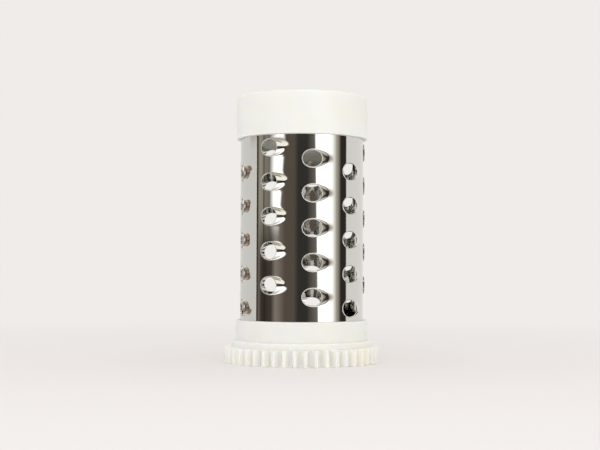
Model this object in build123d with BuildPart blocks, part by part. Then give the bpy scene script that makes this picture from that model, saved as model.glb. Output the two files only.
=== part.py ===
# Shredding drum of a small kitchen grater: a stamped steel tube between two moulded plastic ends.
# It stands on its gear end, with its axis along Z and the gear's outer face at Z = 0.
from math import acos, cos, pi, radians, sin, tan
import os

from build123d import *

# Tube: thin sheet, seen between the collars and seated in a counterbore in each of them
tube_diameter = 38.2
sheet = 0.4
exposed_length = 55.9
seat_depth = 5.0
seat_clearance = 0.05

# Collars: both ends stand proud of the tube by one step, and their open bore leaves a ledge behind it
collar_step = 1.25
seat_ledge = 1.3
end_collar_height = 13.1
free_end_chamfer = 0.5

# Drive gear: a spur gear with involute teeth, one low shoulder and the collar of the driven end
gear_module = 1.0
gear_rise = 3.9
pressure_angle = 20.0
dedendum = 1.25
gear_face = 5.2
photographed_side = -90
first_tooth_angle = 2.5
shoulder_height = 1.65
gear_collar_height = 6.25

# Shredding teeth: columns of pressed hoods, each with an open mouth that cuts as the drum turns
tooth_columns = 9
teeth_per_column = 5
tooth_pitch = 10.3
stagger_steps = 3
first_mouth_angle = -0.8
mouth_diameter = 6.2
mouth_sides = 10
mouth_sink = 0.1
tooth_length = 9.2
hood_root = 1.2

# Sizes that follow from those above
tube_radius = tube_diameter / 2
tube_bore_radius = tube_radius - sheet
collar_radius = tube_radius + collar_step
bore_radius = tube_bore_radius - seat_ledge
gear_teeth = round((tube_diameter + 2 * gear_rise) / gear_module)
pitch_radius = gear_module * gear_teeth / 2
tip_radius = pitch_radius + gear_module
root_radius = pitch_radius - dedendum * gear_module
base_radius = pitch_radius * cos(radians(pressure_angle))
shoulder_top = gear_face + shoulder_height
tube_start = shoulder_top + gear_collar_height
tube_end = tube_start + exposed_length
tail_angle = tooth_length / tube_radius
tail_depth = tube_radius - mouth_sink - tube_radius * cos(tail_angle)
crest_run = (tube_radius * sin(tail_angle) - mouth_diameter) / tail_depth
hood_depth = tail_depth + hood_root
mouth_cut = 2 * mouth_sink


def flank_point(radius, side):
    """A point of the involute flank of a gear tooth that is centred on the X axis."""
    roll = acos(base_radius / radius)
    full = radians(pressure_angle)
    half_tooth = pi / (2 * gear_teeth) + (tan(full) - full) - (tan(roll) - roll)
    return (radius * cos(half_tooth), side * radius * sin(half_tooth))


def mouth_plane(angle, height):
    """Plane of a mouth, just under the tube's skin: X runs around the tube and Z points outwards."""
    outwards = Vector(sin(radians(angle)), -cos(radians(angle)), 0)
    around = Vector(cos(radians(angle)), sin(radians(angle)), 0)
    start = outwards * (tube_radius - mouth_sink) + Vector(0, 0, height)
    return Plane(start, x_dir=around, z_dir=outwards)


# Every third column of teeth stands at the same height, and the middle one at the tube's middle
tooth_planes = []
middle_row = (teeth_per_column - 1) / 2
middle_height = (tube_start + tube_end) / 2
for column in range(tooth_columns):
    column_angle = first_mouth_angle + column * 360 / tooth_columns
    step = (column + 1) % stagger_steps - 1
    for row in range(teeth_per_column):
        above_middle = (row - middle_row - step / stagger_steps) * tooth_pitch
        tooth_planes.append(mouth_plane(column_angle, middle_height + above_middle))


def hood_body(wall, top):
    """A round-mouthed spout whose crest runs from the lip of the mouth down into the tube at its tail."""
    with BuildPart() as body:
        for level in (top, -hood_depth):
            with BuildSketch(Plane.XY.offset(level)):
                with Locations((mouth_diameter / 2 - crest_run * level, 0)):
                    RegularPolygon(mouth_diameter / 2 - wall, mouth_sides, rotation=180 / mouth_sides)
        loft(ruled=True)
    return body.part


hood_outside = hood_body(0, 0)
hood_inside = hood_body(sheet, mouth_cut)

# Shredding tube: a rod grows its hoods, is bored out to the sheet and then opened at each mouth
with BuildPart() as shredding_tube:
    with BuildSketch(Plane.XY.offset(tube_start - seat_depth)):
        Circle(tube_radius)
    extrude(amount=exposed_length + 2 * seat_depth)
    with Locations(*tooth_planes):
        add(hood_outside)
    with BuildSketch(Plane.XY.offset(tube_start - seat_depth)):
        Circle(tube_bore_radius)
    extrude(amount=exposed_length + 2 * seat_depth, mode=Mode.SUBTRACT)
    with Locations(*tooth_planes):
        add(hood_inside, mode=Mode.SUBTRACT)

# End collar: a plain ring with its free edge broken, counterbored for the tube
with BuildPart() as end_collar:
    with BuildSketch(Plane.XY.offset(tube_end)):
        Circle(collar_radius)
    extrude(amount=end_collar_height)
    chamfer(end_collar.edges().filter_by(GeomType.CIRCLE).sort_by(Axis.Z)[-1], free_end_chamfer)
    with BuildSketch(Plane.XY.offset(tube_end)):
        Circle(bore_radius)
    extrude(amount=end_collar_height, mode=Mode.SUBTRACT)
    with BuildSketch(Plane.XY.offset(tube_end)):
        Circle(tube_radius + seat_clearance)
    extrude(amount=seat_depth, mode=Mode.SUBTRACT)

# Gear tooth: two involute flanks, each as two straight runs, a flat tip and a foot inside the rim
with BuildSketch() as gear_tooth:
    with BuildLine():
        rising = Polyline([flank_point(radius, -1) for radius in (root_radius, pitch_radius, tip_radius)])
        falling = Polyline([flank_point(radius, 1) for radius in (tip_radius, pitch_radius, root_radius)])
        Line(rising @ 1, falling @ 0)
        Polyline(falling @ 1, (bore_radius, 0), rising @ 0)
    make_face()

# Drive gear: gear, shoulder and collar come out of the mould as one piece
with BuildPart() as drive_gear:
    with BuildSketch(Plane.XY.offset(gear_face)):
        Circle(collar_radius)
    extrude(amount=shoulder_height + gear_collar_height)
    with BuildSketch(Plane.XY.offset(gear_face)):
        Circle(root_radius)
    extrude(amount=shoulder_height)
    with BuildSketch():
        Circle(root_radius)
        with PolarLocations(0, gear_teeth, start_angle=photographed_side + first_tooth_angle):
            add(gear_tooth.sketch)
    extrude(amount=gear_face)
    with BuildSketch():
        Circle(bore_radius)
    extrude(amount=tube_start, mode=Mode.SUBTRACT)
    with BuildSketch(Plane.XY.offset(tube_start)):
        Circle(tube_radius + seat_clearance)
    extrude(amount=-seat_depth, mode=Mode.SUBTRACT)

os.makedirs("parts", exist_ok=True)
for name, piece in (
    ("shredding_tube", shredding_tube),
    ("end_collar", end_collar),
    ("drive_gear", drive_gear),
):
    piece.part.label = name
    export_step(piece.part, f"parts/{name}.step")
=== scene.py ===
from math import acos, cos, pi, radians, sin, tan

import bpy
from mathutils import Matrix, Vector
import numpy as np


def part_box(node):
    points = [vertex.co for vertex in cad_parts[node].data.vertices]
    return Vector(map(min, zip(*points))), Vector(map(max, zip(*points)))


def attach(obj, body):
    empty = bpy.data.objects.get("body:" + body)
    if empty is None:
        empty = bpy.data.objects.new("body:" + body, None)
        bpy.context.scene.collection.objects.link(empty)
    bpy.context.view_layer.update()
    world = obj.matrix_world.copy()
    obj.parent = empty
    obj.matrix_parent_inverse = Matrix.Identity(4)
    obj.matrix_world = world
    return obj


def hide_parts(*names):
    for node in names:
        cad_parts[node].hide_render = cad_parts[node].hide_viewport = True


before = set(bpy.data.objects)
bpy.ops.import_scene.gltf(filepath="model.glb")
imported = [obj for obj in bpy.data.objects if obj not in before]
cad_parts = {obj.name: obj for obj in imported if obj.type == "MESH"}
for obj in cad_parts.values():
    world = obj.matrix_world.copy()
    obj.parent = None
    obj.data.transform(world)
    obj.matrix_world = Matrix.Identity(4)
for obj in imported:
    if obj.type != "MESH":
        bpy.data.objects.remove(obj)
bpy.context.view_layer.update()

# Shredding tube: bright stainless sheet, rolled to a tube and stamped with columns of hooded teeth.
# Each tooth is a pierced spout that leans around the drum and is ground flat at its mouth, so the cut
# edge of the sheet shows as a pale ring. The tube's plain ends are held inside the two collars.
millimetre = 0.001
tube_radius = 19.1
sheet = 0.4
tube_corners = [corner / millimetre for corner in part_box("shredding_tube")]
tube_start = tube_corners[0].z
tube_end = tube_corners[1].z
tube_middle = (tube_start + tube_end) / 2
tooth_columns = 9
teeth_per_column = 5
tooth_pitch = 10.3
stagger_steps = 3
first_mouth_angle = radians(-0.8)
mouth_around = 6.25
mouth_along = 5.55
mouth_stand = 0.05
lip_fall = 0.25
rim_width = 0.22
rim_crown = 0.05
spout_taper = 0.2
lean_reach = 0.7
tail_angle = radians(26.5)
wall_bow = 0.1
left_flare = 0.3
side_fillet = 0.15
tail_fillet = 0.8
tail_spread = 1.6
half_around = mouth_around / 2
half_along = mouth_along / 2
mouth_level = tube_radius + mouth_stand
mouth_slope = lip_fall / mouth_around
tail_depth = mouth_level - lip_fall - tube_radius * cos(tail_angle)
spout_lean = (tube_radius * sin(tail_angle) - mouth_around) / tail_depth + spout_taper

# The skin is laid out as one cell for each tooth, on a grid that neighbouring cells share
steps_around = 16
steps_along = 12
cell_left = -2
cell_right = cell_left + steps_around
cell_half = steps_along // 2
grid_around = tooth_columns * steps_around
grid_turn = 2 * pi / grid_around
grid_rise = tooth_pitch / steps_along
wall_rings = 7
fillet_rings = 5
skin_rings = 3
rim_rings = 4


def cell_edge():
    """Steps around and along of a cell's edge, with angles, anticlockwise from its lower right corner."""
    around, along, angles = [], [], []
    for step in range(steps_along):
        around.append(cell_right)
        along.append(step - cell_half)
        angles.append(-pi / 4 + pi / 2 * step / steps_along)
    for step in range(steps_around):
        around.append(cell_right - step)
        along.append(cell_half)
        angles.append(pi / 4 + pi / 2 * step / steps_around)
    for step in range(steps_along):
        around.append(cell_left)
        along.append(cell_half - step)
        angles.append(3 * pi / 4 + pi / 2 * step / steps_along)
    for step in range(steps_around):
        around.append(cell_left + step)
        along.append(-cell_half)
        angles.append(5 * pi / 4 + pi / 2 * step / steps_around)
    return np.array(around), np.array(along), np.array(angles)


def on_skin(radius, around, along):
    """Points of the tube beside a tooth: around is measured on the skin from the mouth's left rim."""
    turn = around / tube_radius
    return np.stack((radius * np.sin(turn), radius * np.cos(turn), along), axis=-1)


def spout_wall(angles, inset, radius):
    """Rings of a spout's wall from its mouth to just past its filleted foot, and the way they run."""
    cosine = np.cos(angles)
    sine = np.sin(angles)
    # A smooth step, from the steep wall at the left to the wall that leans with the spout
    share = np.clip(cosine + lean_reach, 0, 1)
    share = share * share * (3 - 2 * share)
    run_around = (spout_lean - spout_taper * cosine) * share - left_flare * (1 - share)
    run = np.stack((run_around, -np.ones_like(angles), -spout_taper * sine), axis=-1)
    start_around = half_around + (half_around - inset) * cosine
    start_out = mouth_level - mouth_slope * start_around
    start_along = (half_along - inset) * sine
    start = np.stack((start_around, start_out, start_along), axis=-1)
    # Each line of the wall meets the skin at the smaller root of a quadratic
    square = run_around ** 2 + 1
    linear_part = start_around * run_around - start_out
    constant = start_around ** 2 + start_out ** 2 - radius ** 2
    depth = (-linear_part - np.sqrt(linear_part ** 2 - square * constant)) / square
    foot = start + run * depth[:, None]
    length = np.linalg.norm(foot - start, axis=-1)
    ring_way = np.stack((
        (inset - half_around) * sine,
        mouth_slope * (half_around - inset) * sine,
        (half_along - inset) * cosine,
    ), axis=-1)
    bow = np.cross(ring_way, run)
    bow = bow * (wall_bow * length / np.linalg.norm(bow, axis=-1))[:, None]
    tailward = np.clip(cosine, 0, 1) ** 2
    fillet = np.minimum(side_fillet + (tail_fillet - side_fillet) * tailward, length / 2)
    spread = np.minimum(side_fillet + (tail_spread - side_fillet) * tailward, length / 2)
    bend = (1 - fillet / length)[:, None]
    above = start + (foot - start) * bend + bow * bend * (1 - bend)
    up_wall = (start - foot) / length[:, None]
    steepness = (up_wall[:, :2] * foot[:, :2]).sum(axis=-1) / radius
    # The fillet's corner stands a little up the wall, so that its far end runs out along the curved skin
    curve_rise = (spread * cosine) ** 2 / (2 * radius)
    lift = np.minimum(curve_rise / steepness, fillet / 2)
    corner = foot + bow * (1 - bend) ** 2 + up_wall * lift[:, None]
    foot_around = tube_radius * np.arctan2(foot[:, 0], foot[:, 1])
    past_around = foot_around + spread * cosine
    past_along = foot[:, 2] + spread * sine
    past = on_skin(radius, past_around, past_along)
    points, ways = [], []
    for ring in range(wall_rings):
        part = bend * ring / wall_rings
        points.append(start + (foot - start) * part + bow * part * (1 - part))
        ways.append(foot - start + bow * (1 - 2 * part))
    for ring in range(fillet_rings + 1):
        part = ring / fillet_rings
        points.append((1 - part) ** 2 * above + 2 * part * (1 - part) * corner + part ** 2 * past)
        ways.append((1 - part) * (corner - above) + part * (past - corner))
    return np.array(points), np.array(ways), past_around, past_along


def spout_shell(angles, inset, radius, edge_around, edge_along):
    """Rings from a mouth over the spout and the skin to the cell's edge, with outward normals."""
    nudge = 0.001
    points, ways, past_around, past_along = spout_wall(angles, inset, radius)
    ahead = spout_wall(angles + nudge, inset, radius)[0]
    behind = spout_wall(angles - nudge, inset, radius)[0]
    normals = np.cross(ahead - behind, ways)
    rings = list(points)
    ring_normals = list(normals / np.linalg.norm(normals, axis=-1)[..., None])
    for ring in range(1, skin_rings + 1):
        part = ring / (skin_rings + 1)
        around = past_around + (edge_around - past_around) * part
        along = past_along + (edge_along - past_along) * part
        points = on_skin(radius, around, along)
        rings.append(points)
        ring_normals.append(points * (1, 1, 0) / radius)
    return np.array(rings), np.array(ring_normals)


edge_steps_around, edge_steps_along, edge_angles = cell_edge()
edge_around = edge_steps_around * grid_turn * tube_radius
edge_along = edge_steps_along * grid_rise
outer_rings, outer_normals = spout_shell(edge_angles, 0, tube_radius, edge_around, edge_along)
inner_radius = tube_radius - sheet
inner_rings, inner_normals = spout_shell(edge_angles, rim_width, inner_radius, edge_around, edge_along)

# The rim is a crowned ring between the two walls of the spout
rim_points, rim_normals = [], []
for ring in range(rim_rings + 1):
    part = ring / rim_rings
    inset = rim_width * part
    rim_around = half_around + (half_around - inset) * np.cos(edge_angles)
    rim_points.append(np.stack((
        rim_around,
        mouth_level - mouth_slope * rim_around + 4 * rim_crown * part * (1 - part),
        (half_along - inset) * np.sin(edge_angles),
    ), axis=-1))
    slope = 4 * rim_crown * (1 - 2 * part) / rim_width
    tilted = np.stack((
        mouth_slope + slope * np.cos(edge_angles), np.ones_like(edge_angles), slope * np.sin(edge_angles),
    ), axis=-1)
    rim_normals.append(tilted / np.linalg.norm(tilted, axis=-1)[:, None])

# Lines of the grid along the tube: whole steps from its middle, then the two cut ends
last_line = int((tube_end - tube_middle) / grid_rise)
line_steps = np.arange(-last_line, last_line + 1)
line_heights = np.concatenate(([tube_start], tube_middle + line_steps * grid_rise, [tube_end]))
line_count = len(line_heights)
grid_angles = first_mouth_angle + np.arange(grid_around) * grid_turn
grid_directions = np.stack((np.sin(grid_angles), -np.cos(grid_angles), np.zeros(grid_around)), axis=-1)
grid_normals = np.repeat(grid_directions, line_count, axis=0)
grid_heights = np.tile(line_heights, grid_around)[:, None] * (0, 0, 1)
grid_count = grid_around * line_count


def grid_index(around, line):
    """Number of the outer grid's point at a step around and a line along the tube."""
    return np.mod(around, grid_around) * line_count + line


def strip(first, second):
    """Four-sided faces between two closed rings of points, given by their numbers."""
    return np.stack((first, np.roll(first, -1), np.roll(second, -1), second), axis=-1)


tube_points = [grid_normals * tube_radius + grid_heights, grid_normals * inner_radius + grid_heights]
point_count = 2 * grid_count
tube_faces, tube_face_normals, tube_face_materials = [], [], []
polished_finish = 0
ground_finish = 1


def add_faces(faces, corner_normals, material):
    """Keeps faces of the tube with the normal of each of their corners and the number of their material."""
    tube_faces.append(faces)
    tube_face_normals.append(corner_normals)
    tube_face_materials.append(np.full(len(faces), material))


def add_strip(first, second, first_normals, second_normals, material):
    """Keeps the strip between two rings of the tube."""
    first_ahead = np.roll(first_normals, -1, axis=0)
    second_ahead = np.roll(second_normals, -1, axis=0)
    corner_normals = np.stack((first_normals, first_ahead, second_ahead, second_normals), axis=1)
    add_faces(strip(first, second), corner_normals, material)


edge_count = len(edge_angles)
for column in range(tooth_columns):
    mouth_angle = first_mouth_angle + column * steps_around * grid_turn
    stagger = ((column + 1) % stagger_steps - 1) * steps_along // stagger_steps
    turn_to_tooth = np.array((
        (cos(mouth_angle), sin(mouth_angle), 0),
        (sin(mouth_angle), -cos(mouth_angle), 0),
        (0, 0, 1),
    ))
    for row in range(teeth_per_column):
        middle_step = (row - teeth_per_column // 2) * steps_along - stagger
        tooth_middle = np.array((0, 0, tube_middle + middle_step * grid_rise))
        edge = grid_index(
            column * steps_around + edge_steps_around, middle_step + last_line + 1 + edge_steps_along,
        )
        chain = [edge]
        chain_normals = [grid_normals[edge]]
        for rings, normals in ((outer_rings[::-1], outer_normals[::-1]), (inner_rings, -inner_normals)):
            for ring, ring_normals in zip(rings, normals):
                tube_points.append(ring @ turn_to_tooth + tooth_middle)
                chain.append(point_count + np.arange(edge_count))
                chain_normals.append(ring_normals @ turn_to_tooth)
                point_count += edge_count
        chain.append(edge + grid_count)
        chain_normals.append(-grid_normals[edge])
        outer_rim = len(outer_rings)
        for ring in range(len(chain) - 1):
            if ring != outer_rim:
                add_strip(*chain[ring:ring + 2], *chain_normals[ring:ring + 2], polished_finish)
        rim_chain = [chain[outer_rim]]
        for ring in range(1, rim_rings):
            tube_points.append(rim_points[ring] @ turn_to_tooth + tooth_middle)
            rim_chain.append(point_count + np.arange(edge_count))
            point_count += edge_count
        rim_chain.append(chain[outer_rim + 1])
        rim_chain_normals = [normals @ turn_to_tooth for normals in rim_normals]
        for ring in range(rim_rings):
            add_strip(*rim_chain[ring:ring + 2], *rim_chain_normals[ring:ring + 2], ground_finish)
    # The skin is plain below the column's lowest tooth and above its highest, the last one made
    lowest = middle_step - (teeth_per_column - 1) * steps_along - cell_half + last_line + 1
    highest = middle_step + cell_half + last_line + 1
    plain_lines = [line for line in range(line_count - 1) if line < lowest or line >= highest]
    for step in range(column * steps_around + cell_left, column * steps_around + cell_right):
        for line in plain_lines:
            quad = np.array([
                grid_index(step, line), grid_index(step + 1, line),
                grid_index(step + 1, line + 1), grid_index(step, line + 1),
            ])
            add_faces(quad[None], grid_normals[quad][None], polished_finish)
            add_faces(quad[None, ::-1] + grid_count, -grid_normals[quad[::-1]][None], polished_finish)

# The cut ends of the tube join its outside to its inside
for line, way in ((0, -1), (line_count - 1, 1)):
    ring = grid_index(np.arange(grid_around), line)
    end_normals = np.tile((0.0, 0.0, float(way)), (grid_around, 1))
    pair = (ring + grid_count, ring) if way < 0 else (ring, ring + grid_count)
    add_strip(*pair, end_normals, end_normals, ground_finish)


def add_piece(name, points, faces, corner_normals, materials, face_materials=None):
    """Makes a smooth mesh object from millimetres, with the true normal at each corner of each face."""
    used, renumbered = np.unique(faces, return_inverse=True)
    faces = renumbered.reshape(faces.shape)
    mesh = bpy.data.meshes.new(name)
    mesh.from_pydata((points[used] * millimetre).tolist(), [], faces.tolist())
    for material in materials:
        mesh.materials.append(material)
    if face_materials is not None:
        mesh.polygons.foreach_set("material_index", face_materials.astype(np.int32))
    mesh.polygons.foreach_set("use_smooth", np.ones(len(faces), dtype=bool))
    mesh.normals_split_custom_set(corner_normals.reshape(-1, 3).tolist())
    piece = bpy.data.objects.new(name, mesh)
    bpy.context.scene.collection.objects.link(piece)
    return piece


def linear(code):
    """Linear colour of an sRGB hex value."""
    colour = []
    for start in (1, 3, 5):
        channel = int(code[start:start + 2], 16) / 255
        colour.append(channel / 12.92 if channel <= 0.04045 else ((channel + 0.055) / 1.055) ** 2.4)
    return colour + [1]


def add_node(tree, kind, inputs=(), **settings):
    """Adds a shader node with its settings, and sets or links each of its inputs."""
    made = tree.nodes.new(kind)
    for name, value in settings.items():
        setattr(made, name, value)
    for socket, value in dict(inputs).items():
        if isinstance(value, bpy.types.NodeSocket):
            tree.links.new(value, made.inputs[socket])
        else:
            made.inputs[socket].default_value = value
    return made


# Polished stainless steel, buffed after rolling: a clear, slightly grey mirror. Handling leaves faint
# smears, which soften the reflections in patches, and the sheet is never quite flat.
steel_colour = "#DCDCD9"
smear_size = 7.0
smear_detail = 4.0
smear_grain = 0.6
smear_low = 0.35
smear_high = 0.75
clean_roughness = 0.035
smeared_roughness = 0.085
wave_size = 16.0
wave_detail = 1.0
wave_height = 0.003
polished_steel = bpy.data.materials.new("polished_stainless_steel")
polished_steel.use_nodes = True
tree = polished_steel.node_tree
shader = tree.nodes["Principled BSDF"]
shader.inputs["Base Color"].default_value = linear(steel_colour)
shader.inputs["Metallic"].default_value = 1.0
place = add_node(tree, "ShaderNodeTexCoord").outputs["Object"]
smears = add_node(tree, "ShaderNodeTexNoise", {
    "Vector": place, "Scale": 1 / (smear_size * millimetre), "Detail": smear_detail,
    "Roughness": smear_grain,
})
smeared = add_node(tree, "ShaderNodeMapRange", {
    "Value": smears.outputs["Fac"], "From Min": smear_low, "From Max": smear_high,
    "To Min": clean_roughness, "To Max": smeared_roughness,
})
tree.links.new(smeared.outputs["Result"], shader.inputs["Roughness"])
waves = add_node(tree, "ShaderNodeTexNoise", {
    "Vector": place, "Scale": 1 / (wave_size * millimetre), "Detail": wave_detail,
})
bump = add_node(tree, "ShaderNodeBump", {
    "Height": waves.outputs["Fac"], "Strength": 1.0, "Distance": wave_height * millimetre,
})
tree.links.new(bump.outputs["Normal"], shader.inputs["Normal"])

# Ground stainless edge, left by the wheel that opened the mouths: matte and pale beside the mirror.
# The wheel's scratches are far finer than a pixel, so they are drawn coarse enough to break the gloss.
edge_colour = "#E6E4E0"
scratch_size = 0.25
scratch_detail = 2.0
scratch_low = 0.3
scratch_high = 0.7
fine_roughness = 0.4
coarse_roughness = 0.55
ground_steel = bpy.data.materials.new("ground_stainless_edge")
ground_steel.use_nodes = True
tree = ground_steel.node_tree
shader = tree.nodes["Principled BSDF"]
shader.inputs["Base Color"].default_value = linear(edge_colour)
shader.inputs["Metallic"].default_value = 1.0
place = add_node(tree, "ShaderNodeTexCoord").outputs["Object"]
scratches = add_node(tree, "ShaderNodeTexNoise", {
    "Vector": place, "Scale": 1 / (scratch_size * millimetre), "Detail": scratch_detail,
})
scratched = add_node(tree, "ShaderNodeMapRange", {
    "Value": scratches.outputs["Fac"], "From Min": scratch_low, "From Max": scratch_high,
    "To Min": fine_roughness, "To Max": coarse_roughness,
})
tree.links.new(scratched.outputs["Result"], shader.inputs["Roughness"])

shredding_tube = add_piece(
    "stamped_tube", np.concatenate(tube_points), np.concatenate(tube_faces),
    np.concatenate(tube_face_normals), (polished_steel, ground_steel), np.concatenate(tube_face_materials),
)
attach(shredding_tube, "root")
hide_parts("shredding_tube")

# End collar: a plain ring moulded in white plastic, pressed over the free end of the tube.
# Its free rim is rounded for the seat it turns in, and the tube stands on a ledge inside it.
collar_radius = 20.35
bore_radius = 17.4
seat_radius = 19.15
seat_depth = 5.0
end_collar_corners = [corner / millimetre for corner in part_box("end_collar")]
end_collar_start = end_collar_corners[0].z
end_collar_end = end_collar_corners[1].z
free_rim_rounding = 0.7
metal_rim_rounding = 0.25
bore_rounding = 0.4
seat_rounding = 0.12
turned_steps = 192
arc_steps = 4


def rounded(corners):
    """Points and outward normals of a closed outline with each corner rounded, material on its left."""
    points, normals = [], []
    places = np.array([corner[:2] for corner in corners], dtype=float)
    for index, corner in enumerate(corners):
        arriving = places[index] - places[index - 1]
        leaving = places[(index + 1) % len(corners)] - places[index]
        arriving = arriving / np.linalg.norm(arriving)
        leaving = leaving / np.linalg.norm(leaving)
        bend = arriving[0] * leaving[1] - arriving[1] * leaving[0]
        turn = np.arctan2(bend, arriving @ leaving)
        rounding = corner[2]
        first = np.array((arriving[1], -arriving[0]))
        back = rounding * tan(abs(turn) / 2)
        centre = places[index] - arriving * back - np.sign(turn) * rounding * first
        for step in range(arc_steps + 1):
            angle = turn * step / arc_steps
            normal = np.array((
                first[0] * cos(angle) - first[1] * sin(angle), first[0] * sin(angle) + first[1] * cos(angle),
            ))
            points.append(centre + np.sign(turn) * rounding * normal)
            normals.append(normal)
    return np.array(points), np.array(normals)


def turned_faces(profile_count, step_count):
    """Faces of a closed profile carried once around the axis, ring by ring."""
    numbers = np.arange(profile_count * step_count).reshape(profile_count, step_count)
    return np.concatenate([strip(numbers[ring], numbers[ring - 1])[:, ::-1] for ring in range(profile_count)])


end_profile, end_profile_normals = rounded((
    (collar_radius, end_collar_start, metal_rim_rounding),
    (collar_radius, end_collar_end, free_rim_rounding),
    (bore_radius, end_collar_end, bore_rounding),
    (bore_radius, end_collar_start + seat_depth, seat_rounding),
    (seat_radius, end_collar_start + seat_depth, seat_rounding),
    (seat_radius, end_collar_start, seat_rounding),
))
turned_angles = np.arange(turned_steps) * 2 * pi / turned_steps
turned_directions = np.stack((np.cos(turned_angles), np.sin(turned_angles)), axis=-1)


def turned(profile, directions):
    """Carries profile values around the axis: the first along each direction, the second along the axis."""
    flat = profile[:, None, :1] * directions[None]
    upright = np.broadcast_to(profile[:, None, 1:], flat.shape[:2] + (1,))
    return np.concatenate((flat, upright), axis=-1).reshape(-1, 3)


# White acetal, moulded: a warm white that light enters a little way, so that shade in it stays soft, with
# the satin gloss of the mould's spark finish. Age yellows it in patches, and handling rubs it smoother.
plastic_colour = "#F9F8F3"
aged_colour = "#F6F4EC"
acetal_ior = 1.48
scatter_depth = 0.9
scatter_radius = (1.0, 0.9, 0.65)
patch_size = 14.0
patch_detail = 3.0
aged_low = 0.35
aged_high = 0.7
rubbed_low = 0.3
rubbed_high = 0.7
rubbed_roughness = 0.3
moulded_roughness = 0.42
spark_size = 0.35
spark_detail = 2.0
spark_height = 0.002
white_plastic = bpy.data.materials.new("moulded_white_acetal")
white_plastic.use_nodes = True
tree = white_plastic.node_tree
shader = tree.nodes["Principled BSDF"]
shader.inputs["IOR"].default_value = acetal_ior
shader.inputs["Subsurface Weight"].default_value = 1.0
shader.inputs["Subsurface Radius"].default_value = scatter_radius
shader.inputs["Subsurface Scale"].default_value = scatter_depth * millimetre
place = add_node(tree, "ShaderNodeTexCoord").outputs["Object"]
patches = add_node(tree, "ShaderNodeTexNoise", {
    "Vector": place, "Scale": 1 / (patch_size * millimetre), "Detail": patch_detail,
})
aged = add_node(tree, "ShaderNodeMapRange", {
    "Value": patches.outputs["Fac"], "From Min": aged_low, "From Max": aged_high,
})
tint = add_node(tree, "ShaderNodeMix", {
    "Factor": aged.outputs["Result"], "A": linear(plastic_colour), "B": linear(aged_colour),
}, data_type="RGBA")
tree.links.new(tint.outputs["Result"], shader.inputs["Base Color"])
rubbed = add_node(tree, "ShaderNodeMapRange", {
    "Value": patches.outputs["Fac"], "From Min": rubbed_low, "From Max": rubbed_high,
    "To Min": rubbed_roughness, "To Max": moulded_roughness,
})
tree.links.new(rubbed.outputs["Result"], shader.inputs["Roughness"])
sparks = add_node(tree, "ShaderNodeTexNoise", {
    "Vector": place, "Scale": 1 / (spark_size * millimetre), "Detail": spark_detail,
})
bump = add_node(tree, "ShaderNodeBump", {
    "Height": sparks.outputs["Fac"], "Strength": 1.0, "Distance": spark_height * millimetre,
})
tree.links.new(bump.outputs["Normal"], shader.inputs["Normal"])

end_collar_faces = turned_faces(len(end_profile), turned_steps)
end_collar = add_piece(
    "plain_collar", turned(end_profile, turned_directions), end_collar_faces,
    turned(end_profile_normals, turned_directions)[end_collar_faces], (white_plastic,),
)
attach(end_collar, "root")
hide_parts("end_collar")

# Drive gear: a spur gear, a low shoulder and the collar of the driven end, moulded in one piece.
# It is the same white plastic as the plain collar, and is pressed over the other end of the tube.
gear_module = 1.0
gear_teeth = 46
pressure_angle = radians(20)
dedendum = 1.25
gear_face = 4.95
photographed_side = radians(-90)
first_tooth_angle = radians(2.5)
shoulder_radius = 21.65
shoulder_top = 6.85
gear_collar_end = tube_start + seat_depth
root_rounding = 0.3
flank_rounding = 4.0
tip_rounding = 0.25
gear_edge_rounding = 0.2
shoulder_rounding = 0.3
foot_rounding = 0.1
pitch_radius = gear_module * gear_teeth / 2
tip_radius = pitch_radius + gear_module
root_radius = pitch_radius - dedendum * gear_module
base_radius = pitch_radius * cos(pressure_angle)


def flank_angle(radius):
    """Half of a gear tooth's angle at a radius, from its involute."""
    roll = acos(base_radius / radius)
    return pi / (2 * gear_teeth) + (tan(pressure_angle) - pressure_angle) - (tan(roll) - roll)


gear_corners = []
for tooth in range(gear_teeth):
    tooth_angle = photographed_side + first_tooth_angle + tooth * 2 * pi / gear_teeth
    for side, radius, rounding in (
        (-1, root_radius, root_rounding), (-1, pitch_radius, flank_rounding), (-1, tip_radius, tip_rounding),
        (1, tip_radius, tip_rounding), (1, pitch_radius, flank_rounding), (1, root_radius, root_rounding),
    ):
        angle = tooth_angle + side * flank_angle(radius)
        gear_corners.append((radius * cos(angle), radius * sin(angle), rounding))
gear_outline, gear_outline_normals = rounded(gear_corners)
gear_outline_radii = np.linalg.norm(gear_outline, axis=-1)
gear_directions = gear_outline / gear_outline_radii[:, None]

gear_profile, gear_profile_normals = rounded((
    (bore_radius, 0, bore_rounding),
    (tip_radius, 0, gear_edge_rounding),
    (tip_radius, gear_face, gear_edge_rounding),
    (shoulder_radius, gear_face, foot_rounding),
    (shoulder_radius, shoulder_top, shoulder_rounding),
    (collar_radius, shoulder_top, foot_rounding),
    (collar_radius, gear_collar_end, metal_rim_rounding),
    (seat_radius, gear_collar_end, seat_rounding),
    (seat_radius, tube_start, seat_rounding),
    (bore_radius, tube_start, seat_rounding),
))
gear_points = turned(gear_profile, gear_directions).reshape(len(gear_profile), -1, 3)
gear_normals = turned(gear_profile_normals, gear_directions).reshape(len(gear_profile), -1, 3)
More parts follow.
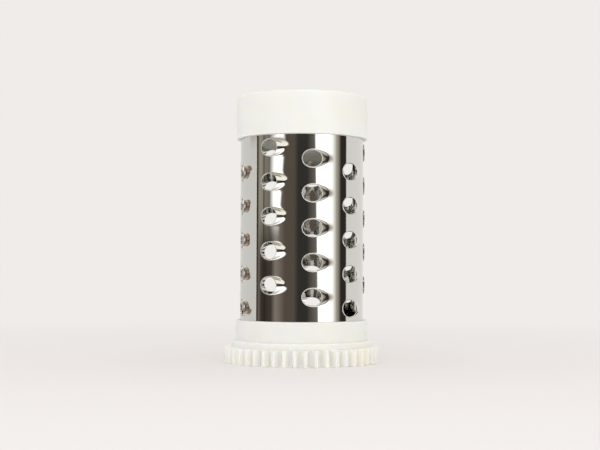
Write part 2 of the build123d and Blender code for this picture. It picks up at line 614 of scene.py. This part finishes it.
# Rings of the profile beyond the pitch circle take the teeth's outline, set in where an edge is rounded
edge_share = np.clip((gear_outline_radii - root_radius) / gear_module, 0, 1)[:, None]
for ring, radius in enumerate(gear_profile[:, 0]):
    if radius > pitch_radius:
        inset = (tip_radius - radius) * edge_share
        gear_points[ring, :, :2] = gear_outline - gear_outline_normals * inset
        gear_normals[ring, :, :2] = gear_outline_normals * gear_profile_normals[ring, 0]
gear_faces = turned_faces(len(gear_profile), len(gear_outline))
drive_gear = add_piece(
    "spur_gear", gear_points.reshape(-1, 3), gear_faces,
    gear_normals.reshape(-1, 3)[gear_faces], (white_plastic,),
)
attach(drive_gear, "root")
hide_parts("drive_gear")

# Floor: a pale disc under the drum that fades out before its edge, so it shows no horizon.
# It is matte card, and keeps the drum's soft shadow.
backdrop_colour = "#EFECE9"
floor_colour = "#FCF7F4"
floor_roughness = 0.9
floor_radius = 320.0
floor_fade = 90.0
floor_sides = 96
floor_angles = np.arange(floor_sides) * 2 * pi / floor_sides
floor_ring = np.stack((np.cos(floor_angles), np.sin(floor_angles), np.zeros(floor_sides)), axis=-1)
floor_mesh = bpy.data.meshes.new("floor")
floor_mesh.from_pydata((floor_ring * floor_radius * millimetre).tolist(), [], [list(range(floor_sides))])
matte_card = bpy.data.materials.new("matte_card")
matte_card.use_nodes = True
tree = matte_card.node_tree
shader = tree.nodes["Principled BSDF"]
shader.inputs["Base Color"].default_value = linear(floor_colour)
shader.inputs["Roughness"].default_value = floor_roughness
shader.inputs["Specular IOR Level"].default_value = 0.0
place = add_node(tree, "ShaderNodeTexCoord").outputs["Object"]
reach = add_node(tree, "ShaderNodeVectorMath", {0: place}, operation="LENGTH")
fade = add_node(tree, "ShaderNodeMapRange", {
    "Value": reach.outputs["Value"], "From Min": floor_fade * millimetre,
    "From Max": floor_radius * millimetre, "To Min": 1.0, "To Max": 0.0,
}, interpolation_type="SMOOTHSTEP")
tree.links.new(fade.outputs["Result"], shader.inputs["Alpha"])
floor_mesh.materials.append(matte_card)
floor = bpy.data.objects.new("floor", floor_mesh)
bpy.context.scene.collection.objects.link(floor)
floor.visible_glossy = False

# Studio: an even white surround lights the drum from all sides, in front of a pale backdrop.
# Curved cards hang round the drum: dark cloths, soft boxes and coloured walls that only mirror and gloss
# show. They give the steel its upright bands and the plastic its gloss, and cast no diffuse light.
surround_level = 0.84
world = bpy.data.worlds.new("studio")
bpy.context.scene.world = world
world.use_nodes = True
tree = world.node_tree
background = tree.nodes["Background"]
ray = add_node(tree, "ShaderNodeLightPath")
seen = add_node(tree, "ShaderNodeMath", {
    0: ray.outputs["Is Camera Ray"], 1: ray.outputs["Is Glossy Ray"],
}, operation="MAXIMUM")
seen_through = add_node(tree, "ShaderNodeMath", {
    0: seen.outputs["Value"], 1: ray.outputs["Is Transmission Ray"],
}, operation="MAXIMUM")
surround = add_node(tree, "ShaderNodeMix", {
    "Factor": seen_through.outputs["Value"], "A": [surround_level] * 3 + [1], "B": linear(backdrop_colour),
}, data_type="RGBA")
tree.links.new(surround.outputs["Result"], background.inputs["Color"])

card_distance = 600.0
card_steps = 48
half_height = 0.5


def add_card(name, stops, low, high, behind=0, level=1.0, fade=0.05, slant=0):
    """Hangs a curved card that only gloss shows. A stop is a turn in degrees, a colour and a cover."""
    distance = card_distance + behind
    turn_from = stops[0][0]
    turn_to = stops[-1][0]
    points, faces = [], []
    for step in range(card_steps + 1):
        for height, side in ((low, 1), (high, -1)):
            first = turn_from + side * slant
            turn = radians(first + (turn_to - first) * step / card_steps)
            points.append((distance * sin(turn), -distance * cos(turn), height))
    for step in range(card_steps):
        faces.append((2 * step, 2 * step + 2, 2 * step + 3, 2 * step + 1))
    mesh = bpy.data.meshes.new(name)
    mesh.from_pydata((np.array(points) * millimetre).tolist(), [], faces)
    layer = mesh.uv_layers.new(name="across")
    for loop in mesh.loops:
        layer.data[loop.index].uv = (loop.vertex_index // 2 / card_steps, loop.vertex_index % 2)
    material = bpy.data.materials.new(name)
    material.use_nodes = True
    tree = material.node_tree
    tree.nodes.remove(tree.nodes["Principled BSDF"])
    place = add_node(tree, "ShaderNodeTexCoord").outputs["UV"]
    sides = add_node(tree, "ShaderNodeSeparateXYZ", {"Vector": place})
    ramp = add_node(tree, "ShaderNodeValToRGB", {"Fac": sides.outputs["X"]})
    elements = ramp.color_ramp.elements
    for turn, colour, cover in stops[1:-1]:
        elements.new((turn - turn_from) / (turn_to - turn_from))
    for element, (turn, colour, cover) in zip(elements, stops):
        element.color = linear(colour)[:3] + [cover]
    from_middle = add_node(tree, "ShaderNodeMath", {
        0: sides.outputs["Y"], 1: half_height,
    }, operation="SUBTRACT")
    off_middle = add_node(tree, "ShaderNodeMath", {0: from_middle.outputs["Value"]}, operation="ABSOLUTE")
    upright = add_node(tree, "ShaderNodeMapRange", {
        "Value": off_middle.outputs["Value"], "From Min": half_height - fade, "From Max": half_height,
        "To Min": 1.0, "To Max": 0.0,
    }, interpolation_type="SMOOTHSTEP")
    shown = add_node(tree, "ShaderNodeMath", {
        0: upright.outputs["Result"], 1: ramp.outputs["Alpha"],
    }, operation="MULTIPLY")
    glow = add_node(tree, "ShaderNodeEmission", {"Color": ramp.outputs["Color"], "Strength": level})
    clear = add_node(tree, "ShaderNodeBsdfTransparent")
    mixed = add_node(tree, "ShaderNodeMixShader", {
        0: shown.outputs["Value"], 1: clear.outputs["BSDF"], 2: glow.outputs["Emission"],
    })
    tree.links.new(mixed.outputs["Shader"], tree.nodes["Material Output"].inputs["Surface"])
    mesh.materials.append(material)
    card = bpy.data.objects.new(name, mesh)
    bpy.context.scene.collection.objects.link(card)
    card.visible_camera = False
    card.visible_diffuse = False
    card.visible_shadow = False
    card.visible_transmission = False


# Cloths in front: turns run from the camera's left to its right, and 0 is straight in front
end_dark = "#211D19"
end_light = "#7A7067"
dark_brown = "#36302B"
brown = "#4B4239"
mid_brown = "#645A51"
light_brown = "#968C82"
black = "#3A3936"
grey = "#6B6760"
tan_colour = "#BDB4A7"
fawn = "#A39B8C"
slate = "#57524A"
stone = "#8A8378"
ash = "#6C655C"
add_card("dark_cloth", (
    (-92, end_dark, 1), (-89.2, end_dark, 1), (-88, end_light, 1), (-85, end_light, 1), (-81, brown, 1),
    (-72, dark_brown, 1), (-64, brown, 1), (-58, brown, 1), (-49, light_brown, 1), (-31, mid_brown, 1),
    (-15, mid_brown, 1), (-7, black, 1), (9, black, 1), (20, grey, 1), (58, tan_colour, 1),
    (67.5, tan_colour, 1), (75.3, dark_brown, 1), (88.5, dark_brown, 1),
), low=-80, high=195, level=0.9, fade=0.17)
add_card("grey_cloth", (
    (-88.5, fawn, 0), (-85, fawn, 1), (-78, fawn, 1), (-74.5, slate, 1), (-72, stone, 1), (-66, stone, 1),
    (-60, ash, 1), (-53, ash, 0),
), low=30, high=260, behind=-10, fade=0.24)

# Soft boxes: two hang before the dark cloth and the others above and below it, under a grey ceiling
white = "#FFFFFF"
cream = "#FFF8EC"
olive = "#ADAA94"
ceiling_colour = "#A8A292"
add_card("right_soft_box", (
    (26, white, 0), (28, white, 1), (51, white, 1), (66, white, 0),
), low=-160, high=260, behind=-20, level=2.0, fade=0.1, slant=8.7)
add_card("left_soft_box", (
    (-34.5, white, 0), (-39, white, 1), (-49, white, 1), (-62, white, 0),
), low=50, high=156, behind=-20, level=2.0, fade=0.33, slant=-8)
add_card("upper_soft_box", (
    (-75, olive, 0), (-58, olive, 1), (-36, olive, 1), (-20, cream, 1), (42, cream, 1), (55, cream, 0),
), low=150, high=800, behind=20, level=1.25)
add_card("ceiling", (
    (-80, ceiling_colour, 0), (-58, ceiling_colour, 1), (42, ceiling_colour, 1), (60, ceiling_colour, 0),
), low=760, high=2600, behind=30, fade=0.03)
add_card("lower_soft_box", (
    (-75, white, 0), (-58, white, 1), (42, white, 1), (55, white, 0),
), low=-800, high=-60, behind=20, level=1.5)

# Walls at both sides, a low cloth at the back and a tall dark corner at the right
tan_wall_colour = "#A79E90"
pale_wall_colour = "#E3E1DD"
brown_wall_colour = "#8E7A69"
sand_wall_colour = "#C2B5A7"
add_card("tan_wall", (
    (42, tan_wall_colour, 0), (55, tan_wall_colour, 1), (88, tan_wall_colour, 1), (90, tan_wall_colour, 0),
), low=-800, high=800, behind=40)
add_card("pale_wall", (
    (-172, pale_wall_colour, 0), (-160, pale_wall_colour, 1), (-94, pale_wall_colour, 1),
    (-90, pale_wall_colour, 0),
), low=-300, high=400, behind=60)
add_card("rear_cloth", (
    (134, brown, 0), (148, brown, 1), (164, dark_brown, 1), (178, grey, 1), (196, tan_colour, 1),
    (214, tan_colour, 0),
), low=-400, high=-45, level=0.9, fade=0.1)
for name, colour, lowest_edge, highest_edge, set_back in (
    ("brown_wall_above", brown_wall_colour, 126, 410, 40),
    ("brown_wall_below", brown_wall_colour, -310, -12, 40),
    ("sand_wall_above", sand_wall_colour, 126, 900, 50),
    ("sand_wall_below", sand_wall_colour, -800, -12, 50),
):
    add_card(name, (
        (-116, colour, 0), (-108, colour, 1), (-72, colour, 1), (-58, colour, 0),
    ), low=lowest_edge, high=highest_edge, behind=set_back, fade=0.12)
add_card("dark_corner", (
    (65.5, brown, 0), (73.3, dark_brown, 1), (87, dark_brown, 1), (88.5, dark_brown, 0),
), low=-400, high=500, behind=10, level=0.9, fade=0.3)

# Lamps: two broad soft boxes at the front, one at each side of the camera and a little above it.
# They give the plastic some form, and neither mirror nor gloss shows them.
lamp_watts = 0.19
lamp_size = 300.0
lamp_aside = 110.0
lamp_forward = 420.0
lamp_height = 120.0
for name, side in (("lamp_right", 1), ("lamp_left", -1)):
    lamp_light = bpy.data.lights.new(name, "AREA")
    lamp_light.energy = lamp_watts
    lamp_light.shape = "RECTANGLE"
    lamp_light.size = lamp_size * millimetre
    lamp_light.size_y = lamp_size * millimetre
    lamp = bpy.data.objects.new(name, lamp_light)
    lamp.location = (side * lamp_aside * millimetre, -lamp_forward * millimetre, lamp_height * millimetre)
    aim = lamp.location * -1
    aim.z += tube_middle * millimetre
    lamp.rotation_euler = aim.to_track_quat("-Z", "Y").to_euler()
    lamp.visible_glossy = False
    bpy.context.scene.collection.objects.link(lamp)

# Camera: a short telephoto in front of the drum, level with its lower teeth and pitched up a little.
# It stands slightly aside, is turned round the drum by half a degree and has a trace of roll.
camera_distance = 362.0
camera_turn = radians(-0.55)
camera_pitch = radians(2.1)
camera_roll = radians(0.2)
camera_aside = -0.55
aim_height = 42.5
lens_length = 69.6
sensor_width = 36.0
nearest_seen = 10.0
level_view = radians(90)
camera_data = bpy.data.cameras.new("camera")
camera_data.lens = lens_length
camera_data.sensor_width = sensor_width
camera_data.clip_start = nearest_seen * millimetre
camera = bpy.data.objects.new("camera", camera_data)
stand = Matrix.Translation((
    camera_aside * millimetre,
    -camera_distance * cos(camera_pitch) * millimetre,
    (aim_height - camera_distance * sin(camera_pitch)) * millimetre,
))
tilt = Matrix.Rotation(level_view + camera_pitch, 4, "X") @ Matrix.Rotation(camera_roll, 4, "Z")
camera.matrix_world = Matrix.Rotation(camera_turn, 4, "Z") @ stand @ tilt
bpy.context.scene.collection.objects.link(camera)
bpy.context.scene.camera = camera
bpy.context.scene.view_settings.view_transform = "Standard"
